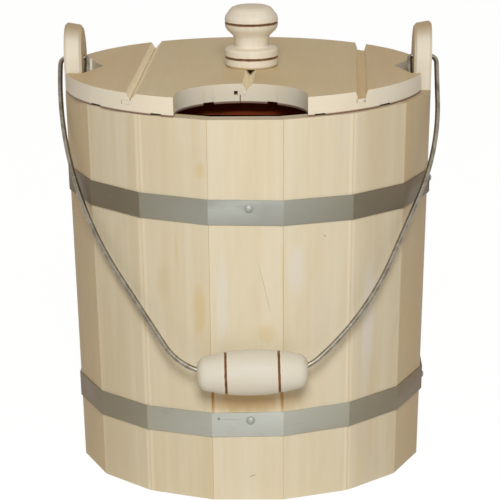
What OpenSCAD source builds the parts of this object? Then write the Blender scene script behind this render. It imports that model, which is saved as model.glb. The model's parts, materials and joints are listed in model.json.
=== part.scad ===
/* [Bucket] */
// Height of the staves from the floor to the rim
bucket_h = 310; // [260:5:360]
// Distance from the axis to the flat outer face of a stave at the rim
rim_reach = 148; // [144:0.5:156]
// The same distance at the foot, smaller so that the hoops drive up tight
foot_reach = 139.5; // [135:0.5:143]
// Thickness of the staves
stave_t = 14; // [13:0.5:16]
// Height of the underside of the bottom above the floor
bottom_rise = 16; // [12:1:24]
// Thickness of the bottom boards
bottom_t = 14; // [11:0.5:18]
// Depth of the groove in the staves that holds the bottom
croze_depth = 5.5; // [4:0.5:7]

/* [Hoops] */
// Width of the steel strip
hoop_w = 20; // [14:1:26]
// Thickness of the steel strip
hoop_t = 1; // [0.8:0.1:1.6]
// Height of the middle of the upper hoop
upper_hoop_z = 237; // [200:1:250]
// Height of the middle of the lower hoop
lower_hoop_z = 64; // [50:1:100]
// Slant of the hoops as they were hammered on, opposite for each
hoop_slant = 0.8; // [0:0.1:1]
// Width of the domed head of a hoop nail or a hoop rivet
head_d = 7; // [5:0.5:9]

/* [Ears and handle] */
// Height of the handle's pivot above the rim
pivot_rise = 23; // [20:1:30]
// Thickness of the handle wire
wire_d = 4; // [3:0.5:4.5]
// Gap between the outer face of an ear and the leg of the wire beside it
leg_gap = 3.2; // [1.5:0.1:6]
// Distance by which the grip hangs to the right of the middle
grip_shift = 4.6; // [0:0.2:6]
// Slant of the grip where the wire is bent unevenly
grip_slant = 1.8; // [0:0.2:3]
// Gap between the lower hoop and the grip that rests above it
grip_clear = 21.3; // [8:0.1:40]
// Length of the turned grip
grip_len = 86; // [76:1:90]
// Largest diameter of the grip
grip_d = 35.8; // [30:0.2:38]

/* [Lid] */
// Thickness of the lid boards
lid_t = 15.5; // [14:0.5:18]
// Width of the lid's two outer boards at their middle, from the joint to the sawn edge
edge_board_w = 59; // [50:0.5:68]
// Distance of the lid's sawn edge inside the outer face of the staves
lid_inset = 1; // [0:0.5:4]
// Radius of the cut-out in the front of the lid
cutout_r = 51.5; // [40:0.5:56]
// Angle by which the lid lies turned on the rim
lid_turn = 1.4; // [0:0.1:1.6]
// Width of the tongue that shows in the right joint of the lid, where the outer board was not pushed home
open_joint = 6; // [0:0.25:6]

/* [Knob] */
// Height of the turned knob above the lid
knob_h = 49.5; // [42:0.5:56]
// Diameter of the cap and of the foot of the knob
knob_d = 43.4; // [38:0.2:50]

/* [Hidden] */
NODES = ["stave_01", "stave_02", "stave_03", "stave_04", "ear_stave_right",
    "stave_05", "stave_06", "stave_07", "stave_08", "stave_09", "stave_10", "stave_11",
    "ear_stave_left", "stave_12", "stave_13", "stave_14",
    "bottom_board_left", "bottom_board_middle", "bottom_board_right",
    "upper_hoop", "lower_hoop", "hoop_rivets", "hoop_nails",
    "lid_board_far_left", "lid_board_left", "lid_board_right", "lid_board_far_right",
    "front_batten", "back_batten", "batten_screws", "knob", "knob_screw",
    "bail", "grip"];
$fn = 96;

wood = "#dccfa8";
pale_wood = "#e3d8c0";
lid_wood = "#c9b88d";
zinc = "#9c978c";
wire_steel = "#6b6259";

// Staves: each is a straight board, and its two mitred sides meet on the axis.
stave_names = [for (k = [0:15]) NODES[k]];
step = 360 / len(stave_names);
half_step = step / 2;
lean = atan((rim_reach - foot_reach) / bucket_h);
wedge_reach = rim_reach + 40;
// Width of the flat sanded on each seam, from the front seam round to the back one
seam_flats = [0.8, 6.5, 2.5, 2, 4, 3, 1.5, 5];
front_turn = -90;

// The groove for the bottom is turned to one radius all round.
croze_h = 8;
croze_r = foot_reach - stave_t + croze_depth;
croze_play = 0.2;
bottom_board_w = 88;

// Ears: the two longer staves run up past the rim and end in a half round about the pivot.
pivot_z = bucket_h + pivot_rise;
pivot_reach = rim_reach + pivot_rise * tan(lean);
ear_inset = 0.3;
ear_chamfer = 2;
ear_root = 2;
wire_play = 0.5;

// Handle: it starts to bend inside the grip's ends, then corners lead up to the legs, each rounded over a reach
// to both sides.
// A knee is a corner's place from the first corner, and a top is the depth of the last one under the pivots.
bend_inset = 18;
straight_half = grip_len / 2 - bend_inset;
leg_x = pivot_reach + leg_gap + wire_d / 2;
right_reaches = [15.6, 49.5, 45.8];
right_knees = [[48.7, 46.2]];
right_top = 85.3;
left_reaches = [28.6, 99.8];
left_knees = [];
left_top = 108.3;
eye_bend_r = 6;
hook_bend_r = 2.2;
hook_play = 0.5;
hook_len = 17;
eye_inner = pivot_reach - stave_t - hook_play;
hook_x = eye_inner - hook_bend_r;
wire_gap = 0.25;
collar_rise = 0.1;
collar_len = 1.2;

// The grip leans on the front stave above the lower hoop, and the handle's length follows from that place.
grip_gap = 0.5;
taper = tan(lean);
grip_z = lower_hoop_z + hoop_w / 2 + grip_clear + grip_d / 2;
grip_reach = foot_reach + taper * grip_z + (grip_d / 2 + grip_gap) / cos(lean);
handle_drop = norm([pivot_z - grip_z, grip_reach]);
rest_angle = atan2(grip_reach, pivot_z - grip_z);

// Lid joints: a tongue on the left side of a board enters a groove in its neighbour.
joint_x = 1.5;
vee_depth = 6;
vee_lip = 1;
vee_steep = 3;
vee_bevel = 5.5;
open_bevel = 1.7;
tongue_t = 3;
tongue_len = 6.5;
tongue_gap = 0.4;
middle_tongue_gap = 3;
tongue_play = 0.1;
relief_w = 8;
relief_depth = 2;
relief_left = 21;
relief_right = 29;
lid_r = rim_reach - lid_inset;
board_w = lid_r - edge_board_w;
lid_shift = [-3, -0.5];
cutout_y = 15 - lid_r;
notch_half = 34;
notch_wall = 1.5;
notch_tip = 14.2;
board_names = ["lid_board_far_left", "lid_board_left", "lid_board_right", "lid_board_far_right"];

batten_w = 38;
batten_t = 15;
batten_end_cut = 5;
batten_y = [-34, 52];
batten_play = 4;
screw_x = [14.5, board_w - 15.5, board_w + 10.5];
screw_d = 4;
screw_head_d = 8;
screw_len = 25;
knob_screw_d = 5;
knob_screw_len = 40;
knob_x = joint_x + (vee_bevel - vee_steep) / 2;

// Points along an arc about c, from angle a to angle b.
function arc(c, r, a, b, n) = [for (k = [0:n]) c + r * [cos(a + (b - a) * k / n), sin(a + (b - a) * k / n)]];

// Distance from the axis to the sharp outer edge where two staves meet.
function seam_reach(reach) = reach / cos(half_step);

// Sanded depth that leaves a flat of width w on a seam.
function flat_depth(w) = w / 2 * tan(half_step);

// The seams are numbered from the front to the back on each side.
function seam_flat(k) = let (n = len(seam_flats)) seam_flats[k < n ? k : 2 * n - 1 - k];

// Staves

module wedge(height) {
    linear_extrude(height = height)
        polygon([[0, 0], [wedge_reach, -wedge_reach * tan(half_step)],
            [wedge_reach, wedge_reach * tan(half_step)]]);
}

// A leaning slab along the stave, from inner to outer distance beyond the stave's outer face.
module leaning_slab(inner, outer, height, width = rim_reach) {
    reach_at_top = foot_reach + height * taper;
    rotate([90, 0, 0])
        linear_extrude(height = width, center = true)
            polygon([[foot_reach + inner, 0], [foot_reach + outer, 0],
                [reach_at_top + outer, height], [reach_at_top + inner, height]]);
}

module seam_sanding(side, w) {
    seam_lean = atan((seam_reach(rim_reach) - seam_reach(foot_reach)) / bucket_h);
    rotate([0, 0, side * half_step])
        translate([seam_reach(foot_reach) - flat_depth(w), 0, 0])
            rotate([0, seam_lean, 0])
                translate([0, -stave_t, -stave_t])
                    cube([stave_t, 2 * stave_t, bucket_h + 2 * stave_t]);
}

module stave_board(k) {
    difference() {
        intersection() {
            leaning_slab(-stave_t, 0, bucket_h);
            wedge(bucket_h);
        }
        seam_sanding(1, seam_flat(k));
        seam_sanding(-1, seam_flat(k == 0 ? 15 : k - 1));
        translate([0, 0, bottom_rise])
            cylinder(r = croze_r, h = croze_h);
    }
}

function ear_half(x) = (rim_reach + x) * tan(half_step) - ear_inset;

// Half of the ear's section: x runs from the outer face inward, y across the ear.
function ear_side() = [[-stave_t, ear_half(-stave_t) - ear_chamfer],
    [ear_chamfer - stave_t, ear_half(ear_chamfer - stave_t)],
    [-ear_chamfer, ear_half(-ear_chamfer)],
    [0, ear_half(0) - ear_chamfer]];

module ear() {
    side = ear_side();
    n = len(side);
    rise = pivot_rise / cos(lean);
    translate([rim_reach, 0, bucket_h])
        rotate([0, lean, 0]) {
            translate([0, 0, -ear_root])
                linear_extrude(height = rise + ear_root)
                    polygon(concat(side, [for (k = [n - 1:-1:0]) [side[k].x, -side[k].y]]));
            translate([0, 0, rise])
                rotate([0, 90, 0])
                    rotate_extrude()
                        polygon(concat([[0, -stave_t]], [for (p = side) [p.y, p.x]], [[0, 0]]));
        }
}

module stave(k) {
    color(wood)
        rotate([0, 0, front_turn + k * step])
            if (k % 8 == 4) {
                difference() {
                    union() {
                        stave_board(k);
                        ear();
                    }
                    translate([0, 0, pivot_z])
                        rotate([0, 90, 0])
                            cylinder(d = wire_d + 2 * wire_play, h = wedge_reach);
                }
            } else {
                hooped_stave(k);
            }
}

// Staves at the front and the back carry the hoop nails.
module hooped_stave(k) {
    difference() {
        stave_board(k);
        if (k % 8 == 0)
            for (z = [upper_hoop_z, lower_hoop_z])
                hoop_nail(z);
    }
}

// Bottom

module bottom_disc() {
    translate([0, 0, bottom_rise]) {
        cylinder(r = croze_r - croze_play, h = croze_h);
        cylinder(r = foot_reach - stave_t - croze_play, h = bottom_t);
    }
}

module bottom_board(from, to) {
    color(wood)
        intersection() {
            bottom_disc();
            translate([from, -rim_reach, 0])
                cube([to - from, 2 * rim_reach, bucket_h]);
        }
}

// Hoops

// The whole bucket as one solid block, grown outward by the given distance.
module bucket_block(beyond) {
    intersection_for(k = [0:len(stave_names) - 1])
        rotate([0, 0, front_turn + k * step])
            leaning_slab(-2 * wedge_reach, beyond, bucket_h, 3 * wedge_reach);
}

// The strip laps over its own end on the right, where a rivet closes it.
module hoop_lap() {
    lap_from = -26;
    lap_to = 14;
    intersection() {
        leaning_slab(hoop_t, 2 * hoop_t, bucket_h);
        translate([0, lap_from, 0])
            cube([wedge_reach, lap_to - lap_from, bucket_h]);
    }
}

module hoop(z, slant) {
    color(zinc)
        difference() {
            intersection() {
                union() {
                    bucket_block(hoop_t);
                    hoop_lap();
                }
                translate([0, 0, z])
                    rotate([0, slant, 0])
                        cube([2 * wedge_reach, 2 * wedge_reach, hoop_w], center = true);
            }
            bucket_block(0);
            for (turn = [front_turn, -front_turn])
                rotate([0, 0, turn])
                    hoop_nail(z);
            hoop_rivet(z, slant);
        }
}

// A domed head with its flat side on the metal and a shank running inward along -X.
module stud(shank_d, shank_len) {
    dome_h = 2;
    dome_r = (pow(head_d / 2, 2) + pow(dome_h, 2)) / (2 * dome_h);
    rotate([0, 90, 0]) {
        intersection() {
            translate([0, 0, dome_h - dome_r])
                sphere(r = dome_r);
            cylinder(d = head_d, h = dome_h);
        }
        translate([0, 0, -shank_len])
            cylinder(d = shank_d, h = shank_len);
    }
}

function hoop_face(z) = foot_reach + z * taper + hoop_t;

module hoop_nail(hoop_z) {
    nail_lift = 3.4;
    nail_shift = 2.3;
    z = hoop_z + nail_lift;
    translate([hoop_face(z), nail_shift, z])
        rotate([0, lean, 0])
            stud(2.5, 11);
}

module hoop_rivet(z, slant) {
    rivet_y = -17;
    mid_z = z - hoop_face(z) * tan(slant);
    translate([hoop_face(mid_z) + hoop_t, rivet_y, mid_z])
        rotate([0, lean, 0])
            stud(3.5, 2 * hoop_t);
}

module hoop_rivets() {
    color(zinc) {
        hoop_rivet(upper_hoop_z, hoop_slant);
        hoop_rivet(lower_hoop_z, -hoop_slant);
    }
}

module hoop_nails() {
    color(zinc)
        for (turn = [front_turn, -front_turn])
            rotate([0, 0, turn])
                for (z = [upper_hoop_z, lower_hoop_z])
                    hoop_nail(z);
}

// Lid, drawn with its underside at zero and its boards running front to back

module on_rim() {
    translate([0, 0, bucket_h])
        rotate([0, 0, -lid_turn])
            children();
}

// Outline of one lid board across its width: tongue on the left, groove on the right, a vee above each joint.
// In the right joint of the lid, the outer board stands off and leaves its tongue open to view.
module board_section(k) {
    a = joint_x + (k - 2) * board_w;
    b = a + board_w;
    from = k == 3 ? a + open_joint : a;
    to = k == 2 ? b + open_joint : b;
    tongue_top = lid_t - vee_depth;
    tongue_low = tongue_top - tongue_t;
    groove_end = to - tongue_len - (k == 1 ? middle_tongue_gap : tongue_gap);
    difference() {
        polygon([[from, 0], [from, tongue_low], [from - tongue_len, tongue_low], [from - tongue_len, tongue_top],
            [from, tongue_top], [from + (k == 3 ? open_bevel : vee_bevel), lid_t],
            [b - (k == 2 ? open_bevel : vee_steep), lid_t],
            [b, tongue_top + vee_lip], [b, tongue_top + tongue_play],
            [groove_end, tongue_top + tongue_play], [groove_end, tongue_low - tongue_play],
            [to, tongue_low - tongue_play], [to, 0]]);
        for (x = [a + relief_left, b - relief_right])
            translate([x - relief_w / 2, -relief_depth])
                square([relief_w, 2 * relief_depth]);
    }
}

module lid_outline() {
    inner_face = rim_reach - stave_t;
    difference() {
        translate(lid_shift)
            circle(r = lid_r);
        translate([0, cutout_y])
            circle(r = cutout_r);
        translate([-cutout_r, cutout_y - lid_r])
            square([2 * cutout_r, lid_r]);
        for (side = [1, -1])
            polygon([[side * (inner_face - notch_tip), 0], [side * (inner_face - notch_wall), notch_half],
                [side * wedge_reach, notch_half], [side * wedge_reach, -notch_half],
                [side * (inner_face - notch_wall), -notch_half]]);
    }
}

module lid_board(k) {
    color(lid_wood)
        on_rim()
            difference() {
                intersection() {
                    rotate([90, 0, 0])
                        linear_extrude(height = 2 * lid_r + 20, center = true)
                            board_section(k);
                    linear_extrude(height = lid_t)
                        lid_outline();
                }
                batten_screw_set();
                knob_screw_body();
            }
}

// A batten stops short of the inner face of the staves at its two corners.
function batten_half(y) = sqrt(pow(rim_reach - stave_t - batten_play, 2) - pow(abs(y) + batten_w / 2, 2));

module batten(y) {
    half = batten_half(y);
    color(wood)
        on_rim()
            difference() {
                translate([0, y, 0])
                    rotate([90, 0, 0])
                        linear_extrude(height = batten_w, center = true)
                            polygon([[-half, 0], [batten_end_cut - half, -batten_t],
                                [half - batten_end_cut, -batten_t], [half, 0]]);
                batten_screw_set();
            }
}

// Countersunk screw with its head at zero and its point upward.
module screw(d, head_diameter, length) {
    head_h = (head_diameter - d) / 2;
    tip_h = d;
    rotate_extrude()
        polygon([[0, 0], [head_diameter / 2, 0], [d / 2, head_h], [d / 2, length - tip_h], [0, length]]);
}

// On each batten, two screws hold each inner board and one holds each outer board.
module batten_screw_set() {
    stagger = 8;
    for (y = batten_y, side = [1, -1], k = [0:2])
        translate([joint_x + side * screw_x[k], y + (k == 1 ? stagger : -stagger), -batten_t])
            screw(screw_d, screw_head_d, screw_len);
}

module batten_screws() {
    color(zinc)
        on_rim()
            batten_screw_set();
}

module knob_screw_body() {
    translate([knob_x, 0, 0])
        screw(knob_screw_d, 2 * knob_screw_d, knob_screw_len);
}

module knob_screw() {
    color(zinc)
        on_rim()
            knob_screw_body();
}

// Knob

// A burnt line is a shallow vee turned into the side at height z and radius r.
function burnt_line(r, z) = [[r, z - 0.7], [r - 0.8, z], [r, z + 0.7]];

function knob_outline(r, h) = concat(
    [[0, 0], [r - 0.05 * h, 0]],
    arc([r - 0.05 * h, 0.06 * h], 0.05 * h, -60, 0, 3),
    burnt_line(r, 0.165 * h),
    arc([0.87 * r, 0.26 * h], 0.13 * r, 0, 80, 4),
    [[0.67 * r, 0.325 * h], [0.62 * r, 0.345 * h], [0.64 * r, 0.4 * h], [0.68 * r, 0.495 * h]],
    [[0.72 * r, 0.525 * h], [0.92 * r, 0.61 * h], [0.985 * r, 0.66 * h]],
    burnt_line(r, 0.735 * h),
    arc([0.7 * r, 0.79 * h], 0.3 * r, 0, 45, 4),
    [[0.83 * r, 0.935 * h], [0.74 * r, 0.975 * h], [0.6 * r, h], [0, h]]);

module knob() {
    color(pale_wood)
        on_rim()
            difference() {
                translate([knob_x, 0, lid_t])
                    rotate_extrude()
                        polygon(knob_outline(knob_d / 2, knob_h));
                knob_screw_body();
            }
}

// Handle

// Puts the handle at its pivot line, swung forward to where it rests.
module at_rest() {
    translate([0, 0, pivot_z])
        rotate([-rest_angle, 0, 0])
            children();
}

// Stretches of wire stop a hair short of each other, and a collar a hair thicker joins each two.
module collar(p, turn) {
    translate([p.x, 0, p.y])
        rotate([0, -turn, 0])
            cylinder(d = wire_d + 2 * collar_rise, h = collar_len, center = true);
}

// A bent stretch in the handle's plane, about the point c, from angle a to angle b.
module bend(c, r, a, b) {
    short = wire_gap / r * 180 / PI;
    translate([c.x, 0, c.y])
        rotate([90, 0, 0])
            rotate([0, 0, a + short])
                rotate_extrude(angle = b - a - 2 * short)
                    translate([r, 0])
                        circle(d = wire_d);
}

// A straight stretch of the given length from the point p, along the direction turned from upright.
module straight(p, turn, length) {
    translate([p.x, 0, p.y])
        rotate([0, turn, 0])
            translate([0, 0, wire_gap])
                cylinder(d = wire_d, h = length - 2 * wire_gap);
}

// Slant of the line from the point p to the point q.
function slant_of(p, q) = atan2(q.y - p.y, q.x - p.x);

// The bend at the corner q, on the way from p to s, that starts and ends at the given reach from the corner.
module rounded_corner(p, q, s, reach) {
    a = slant_of(p, q);
    b = slant_of(q, s);
    r = reach / tan((b - a) / 2);
    begin = q - reach * [cos(a), sin(a)];
    collar(begin, a - 90);
    bend(begin + r * [-sin(a), cos(a)], r, a - 90, b - 90);
    collar(q + reach * [cos(b), sin(b)], b - 90);
}

// One side of the handle, through its corners from the grip to the ear, where it turns in and hooks down.
module half_bail(side, knees, reaches, top) {
    along = [cos(side * grip_slant), sin(side * grip_slant)];
    start = [side * grip_shift, -handle_drop] + straight_half * along;
    first = start + reaches[0] * along;
    points = concat([start, first], [for (p = knees) first + p], [[leg_x, -top], [leg_x, -eye_bend_r]]);
    ends = concat([0], reaches, [0]);
    for (k = [1:len(points) - 2]) {
        slant = slant_of(points[k], points[k + 1]);
        rounded_corner(points[k - 1], points[k], points[k + 1], ends[k]);
        straight(points[k] + ends[k] * [cos(slant), sin(slant)], 90 - slant,
            norm(points[k + 1] - points[k]) - ends[k] - ends[k + 1]);
    }
    eye_outer = leg_x - eye_bend_r;
    collar([leg_x, -eye_bend_r], 0);
    bend([eye_outer, -eye_bend_r], eye_bend_r, 0, 90);
    collar([eye_outer, 0], 90);
    straight([eye_inner, 0], 90, eye_outer - eye_inner);
    collar([eye_inner, 0], 90);
    bend([eye_inner, -hook_bend_r], hook_bend_r, 90, 180);
    collar([hook_x, -hook_bend_r], 0);
    straight([hook_x, -hook_bend_r], 180, hook_len - hook_bend_r);
}

module bail() {
    color(wire_steel)
        at_rest() {
            straight([grip_shift, -handle_drop] - straight_half * [cos(grip_slant), sin(grip_slant)],
                90 - grip_slant, 2 * straight_half);
            half_bail(1, right_knees, right_reaches, right_top);
            mirror([1, 0, 0])
                half_bail(-1, left_knees, left_reaches, left_top);
        }
}

// Half of the grip's outline from its middle to its end, bore side first.
module grip() {
    half = grip_len / 2;
    bore_r = wire_d / 2 + 0.3;
    mouth_r = 6.9;
    line_x = 0.48 * half;
    belly_r = 147;
    top = grip_d / 2;
    shoulder = [16, 76];
    shoulder_r = (belly_y(half - 7, top, belly_r) - mouth_r) / (cos(shoulder[0]) - cos(shoulder[1]));
    shoulder_x = half - shoulder_r * sin(shoulder[1]);
    shoulder_y = mouth_r - shoulder_r * cos(shoulder[1]);
    line_y = belly_y(line_x, top, belly_r);
    side = concat(
        [for (x = [line_x + 0.7:(shoulder_x - line_x - 0.7) / 5:shoulder_x - 0.5]) [belly_y(x, top, belly_r), x]],
        arc([shoulder_y, shoulder_x], shoulder_r, shoulder[0], shoulder[1], 7),
        [[bore_r, straight_half - 1]]);
    middle = [for (x = [0:(line_x - 0.7) / 5:line_x]) [belly_y(x, top, belly_r), x]];
    upper = concat(middle, [[line_y - 0.8, line_x]], side);
    n = len(upper);
    color(pale_wood)
        at_rest()
            translate([grip_shift, 0, -handle_drop])
                rotate([0, 90 - grip_slant, 0])
                    rotate_extrude()
                        polygon(concat([for (k = [n - 1:-1:1]) [upper[k].x, -upper[k].y]], upper));
}

// Radius of the barrel of the grip at a distance x from its middle.
function belly_y(x, top, r) = top - r + sqrt(r * r - x * x);

for (k = [0:len(stave_names) - 1])
    stave(k);
bottom_board(-rim_reach, -bottom_board_w / 2);  // bottom_board_left
bottom_board(-bottom_board_w / 2, bottom_board_w / 2);  // bottom_board_middle
bottom_board(bottom_board_w / 2, rim_reach);  // bottom_board_right
hoop(upper_hoop_z, hoop_slant);  // upper_hoop
hoop(lower_hoop_z, -hoop_slant);  // lower_hoop
hoop_rivets();
hoop_nails();
for (k = [0:len(board_names) - 1])
    lid_board(k);
batten(batten_y[0]);  // front_batten
batten(batten_y[1]);  // back_batten
batten_screws();
knob();
knob_screw();
bail();
grip();
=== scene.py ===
# %% [markdown]
# # A wooden bath bucket with a lid
# The real bucket is made by a cooper: sixteen pale boards, called staves, stand in a ring, and two steel
# hoops hold them together. It has a wire handle with a turned grip, and a loose lid with a turned knob. The
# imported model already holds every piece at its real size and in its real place, in metres, so this lesson
# loads it first and then gives each piece its edges, its wood or metal, and the light of a plain
# photograph.

# %% Load the pieces
import json
import math
import random
from contextlib import contextmanager

import bmesh
import bpy
from mathutils import Matrix, Vector


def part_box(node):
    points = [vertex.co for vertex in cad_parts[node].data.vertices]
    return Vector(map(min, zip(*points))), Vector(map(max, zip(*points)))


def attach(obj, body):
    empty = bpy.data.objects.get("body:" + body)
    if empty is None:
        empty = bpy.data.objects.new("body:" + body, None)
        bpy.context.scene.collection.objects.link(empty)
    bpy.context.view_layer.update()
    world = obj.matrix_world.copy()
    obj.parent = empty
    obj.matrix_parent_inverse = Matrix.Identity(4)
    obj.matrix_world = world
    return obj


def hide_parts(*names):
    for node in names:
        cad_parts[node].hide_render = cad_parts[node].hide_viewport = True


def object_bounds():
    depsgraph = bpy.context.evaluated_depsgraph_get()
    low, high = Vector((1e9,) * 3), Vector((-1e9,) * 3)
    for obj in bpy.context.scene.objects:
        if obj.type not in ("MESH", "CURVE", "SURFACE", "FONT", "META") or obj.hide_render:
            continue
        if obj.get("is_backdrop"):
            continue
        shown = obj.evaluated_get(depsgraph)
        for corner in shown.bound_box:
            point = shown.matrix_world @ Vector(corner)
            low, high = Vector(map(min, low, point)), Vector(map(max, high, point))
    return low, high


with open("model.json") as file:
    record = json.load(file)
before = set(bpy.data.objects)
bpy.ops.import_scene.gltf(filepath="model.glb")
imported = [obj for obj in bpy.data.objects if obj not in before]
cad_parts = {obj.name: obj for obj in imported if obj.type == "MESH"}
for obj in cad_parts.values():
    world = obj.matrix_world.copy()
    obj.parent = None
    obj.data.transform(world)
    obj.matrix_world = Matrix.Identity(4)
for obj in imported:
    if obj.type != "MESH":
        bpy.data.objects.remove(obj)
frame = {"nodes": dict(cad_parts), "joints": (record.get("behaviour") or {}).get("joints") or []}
nodes = frame["nodes"]
joints = {joint["name"]: joint for joint in frame["joints"]}
packed_box = [list(corner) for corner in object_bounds()]
print("loaded", len(nodes), "pieces")

# %% [markdown]
# ## The main sizes
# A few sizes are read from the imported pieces, so that new pieces follow them. The handle turns about a line
# through the two ears, and its joint says where that line is. The grip's joint says where the grip hangs.

# %% Read the main sizes
MM = 0.001
PIVOT = Vector(joints["bail_swing"]["pos_m"])
GRIP_MIDDLE = Vector(joints["grip_spin"]["pos_m"])
GRIP_LINE = Vector(joints["grip_spin"]["axis"]).normalized()
HANG = GRIP_MIDDLE - PIVOT
REST_ANGLE = math.atan2(-HANG.y, -HANG.z)
HANDLE_DROP = math.hypot(HANG.y, HANG.z)
RIM_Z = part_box("stave_01")[1].z
print("pivot line at", round(PIVOT.z / MM, 1), "mm")
print("handle leans", round(math.degrees(REST_ANGLE), 1), "degrees")

# %% [markdown]
# ## A place for the camera
# The photograph was taken from the front, a little above the rim, with a long lens from about two metres. A
# long lens keeps the upright boards almost parallel. The camera is built from two directions, its right and
# its backward one, and then rolled by half a degree, because the picture was not held quite level.

# %% Set up the camera
AZIMUTH, ELEVATION, ROLL = (math.radians(angle) for angle in (1.16, 14.58, -0.485))
AIM = Vector((0.08, 0.01, 169.32)) * MM
DISTANCE = 1921.15 * MM
SENSOR = 36.0
FOCAL_SHARE = 2294.43 / 500


def in_scene(name, data):
    """A new object that shows in the scene."""
    piece = bpy.data.objects.new(name, data)
    bpy.context.scene.collection.objects.link(piece)
    return piece


def camera_matrix():
    """The camera's place and turn, from its angles round the bucket."""
    right = Vector((math.cos(AZIMUTH), math.sin(AZIMUTH), 0))
    back = Vector((math.sin(AZIMUTH) * math.cos(ELEVATION), -math.cos(AZIMUTH) * math.cos(ELEVATION),
                   math.sin(ELEVATION)))
    turned_right = Matrix.Rotation(ROLL, 3, back) @ right
    up = back.cross(turned_right)
    turn = Matrix((turned_right, up, back)).transposed()
    return Matrix.Translation(AIM + back * DISTANCE) @ turn.to_4x4()


camera = in_scene("camera", bpy.data.cameras.new("camera"))
camera.data.sensor_width = SENSOR
camera.data.lens = SENSOR * FOCAL_SHARE
camera.data.clip_start = 0.05
camera.matrix_world = camera_matrix()
bpy.context.scene.camera = camera
print("lens", round(camera.data.lens, 1), "mm at", round(DISTANCE, 2), "m")

# %% [markdown]
# ## Helpers for nodes
# Every light and finish here is a small network of nodes. It could be drawn by hand in the shader editor,
# but written down it can be repeated for every board. The helper `step` adds one node, sets its values and
# links its inputs, so that each network can be read from top to bottom.

# %% Write the node helpers
def give(tree, socket, value):
    """Gives an input its value, or links it to an output of an earlier node."""
    if isinstance(value, bpy.types.NodeSocket):
        tree.links.new(value, socket)
    else:
        socket.default_value = value


def step(tree, kind, inputs=None, **settings):
    """Adds a node with its settings and its inputs."""
    node = tree.nodes.new("ShaderNode" + kind)
    for name, value in settings.items():
        setattr(node, name, value)
    for name, value in (inputs or {}).items():
        give(tree, node.inputs[name], value)
    return node


def number(tree, operation, first, second=0.0, third=0.0):
    """One step of arithmetic at each point of the surface."""
    return step(tree, "Math", {0: first, 1: second, 2: third}, operation=operation).outputs[0]


def times(tree, first, second):
    """One number times another."""
    return number(tree, "MULTIPLY", first, second)


print("helpers give, step, number and times are ready")

# %% [markdown]
# ## Light and background
# The picture was lit from the front by one soft lamp, so the boards darken quickly as they turn to the
# sides, and the room filled in very little. A sun lamp would give a hard shadow, so an area lamp near the
# camera is used: it gives the soft shadow under the grip. The world lights the shaded sides with a dim warm
# tone, and shows white to the camera and in reflections, as in a product picture.

# %% Light the bucket
WHITE = (1, 1, 1, 1)
LAMP_PLACE = Vector((0.1, -2.6, 1.75))
LAMP_SIZE = 0.8
LAMP_WATTS = 60
FILL_TONE = (1.0, 0.74, 0.46, 1)
FILL_STRENGTH = 0.22


def lamp(name, place, size, watts):
    """A square soft lamp that points at the middle of the bucket."""
    light = bpy.data.lights.new(name, "AREA")
    light.size = size
    light.energy = watts
    aimed = (AIM - place).to_track_quat("-Z", "Y").to_matrix().to_4x4()
    in_scene(name, light).matrix_world = Matrix.Translation(place) @ aimed


def seen_ray(tree):
    """One for rays from the camera, a reflection or a glass, and zero for rays that bring light."""
    path = step(tree, "LightPath").outputs
    direct = number(tree, "MAXIMUM", path["Is Camera Ray"], path["Is Glossy Ray"])
    return number(tree, "MAXIMUM", direct, path["Is Transmission Ray"])


def room_light(strength):
    """A dim world that looks white."""
    world = bpy.data.worlds.new("room")
    world.use_nodes = True
    tree = world.node_tree
    tree.nodes.clear()
    fill = step(tree, "Background", {"Color": FILL_TONE, "Strength": strength})
    seen = step(tree, "Background", {"Color": WHITE})
    mix = step(tree, "MixShader", {0: seen_ray(tree), 1: fill.outputs[0], 2: seen.outputs[0]})
    step(tree, "OutputWorld", {"Surface": mix.outputs[0]})
    bpy.context.scene.world = world


lamp("key_lamp", LAMP_PLACE, LAMP_SIZE, LAMP_WATTS)
room_light(FILL_STRENGTH)
bpy.context.scene.view_settings.view_transform = "Standard"
print("one lamp of", LAMP_WATTS, "W and a room at", FILL_STRENGTH)

# %% [markdown]
# ## The floor
# The bucket stands on a pale floor that runs off into the white background. A white sheet that only glows
# would lose the shadow, and a matt one alone would look grey. So most of what the camera sees is plain
# white, and the rest is a matt surface that keeps the soft shadow.

# %% Lay the floor
FLOOR_HALF = 2.6
FLOOR_Z = -0.2 * MM
FLOOR_WHITENESS = 0.94
FLOOR_GLOW = 1.04
FLOOR_PAINT = (0.86, 0.85, 0.83, 1)


def floor_material(whiteness):
    """A matt white surface that looks nearly white to the camera and keeps a faint shadow."""
    material = bpy.data.materials.new("floor_paint")
    material.use_nodes = True
    tree = material.node_tree
    tree.nodes.clear()
    matt = step(tree, "BsdfDiffuse", {"Color": FLOOR_PAINT})
    seen = step(tree, "Emission", {"Color": WHITE, "Strength": FLOOR_GLOW})
    share = times(tree, seen_ray(tree), whiteness)
    mix = step(tree, "MixShader", {0: share, 1: matt.outputs[0], 2: seen.outputs[0]})
    step(tree, "OutputMaterial", {"Surface": mix.outputs[0]})
    return material


def flat_floor():
    """One large square just under the feet of the staves."""
    mesh = bpy.data.meshes.new("floor")
    corners = [(x * FLOOR_HALF, y * FLOOR_HALF, FLOOR_Z) for x, y in ((-1, -1), (1, -1), (1, 1), (-1, 1))]
    mesh.from_pydata(corners, [], [(0, 1, 2, 3)])
    mesh.materials.append(floor_material(FLOOR_WHITENESS))
    piece = in_scene("floor", mesh)
    piece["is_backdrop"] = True
    return piece


floor = flat_floor()
print(floor.name, 2 * FLOOR_HALF, "m wide")

# %% [markdown]
# ## Colours and places
# Colours are given as they look on a screen, from 0 to 255, and turned into the linear numbers that Blender
# works with. Colours could come from a picture laid on the piece, but here each tone is laid over the last
# one like a glaze, where a place, a distance or soft noise asks for it.

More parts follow.
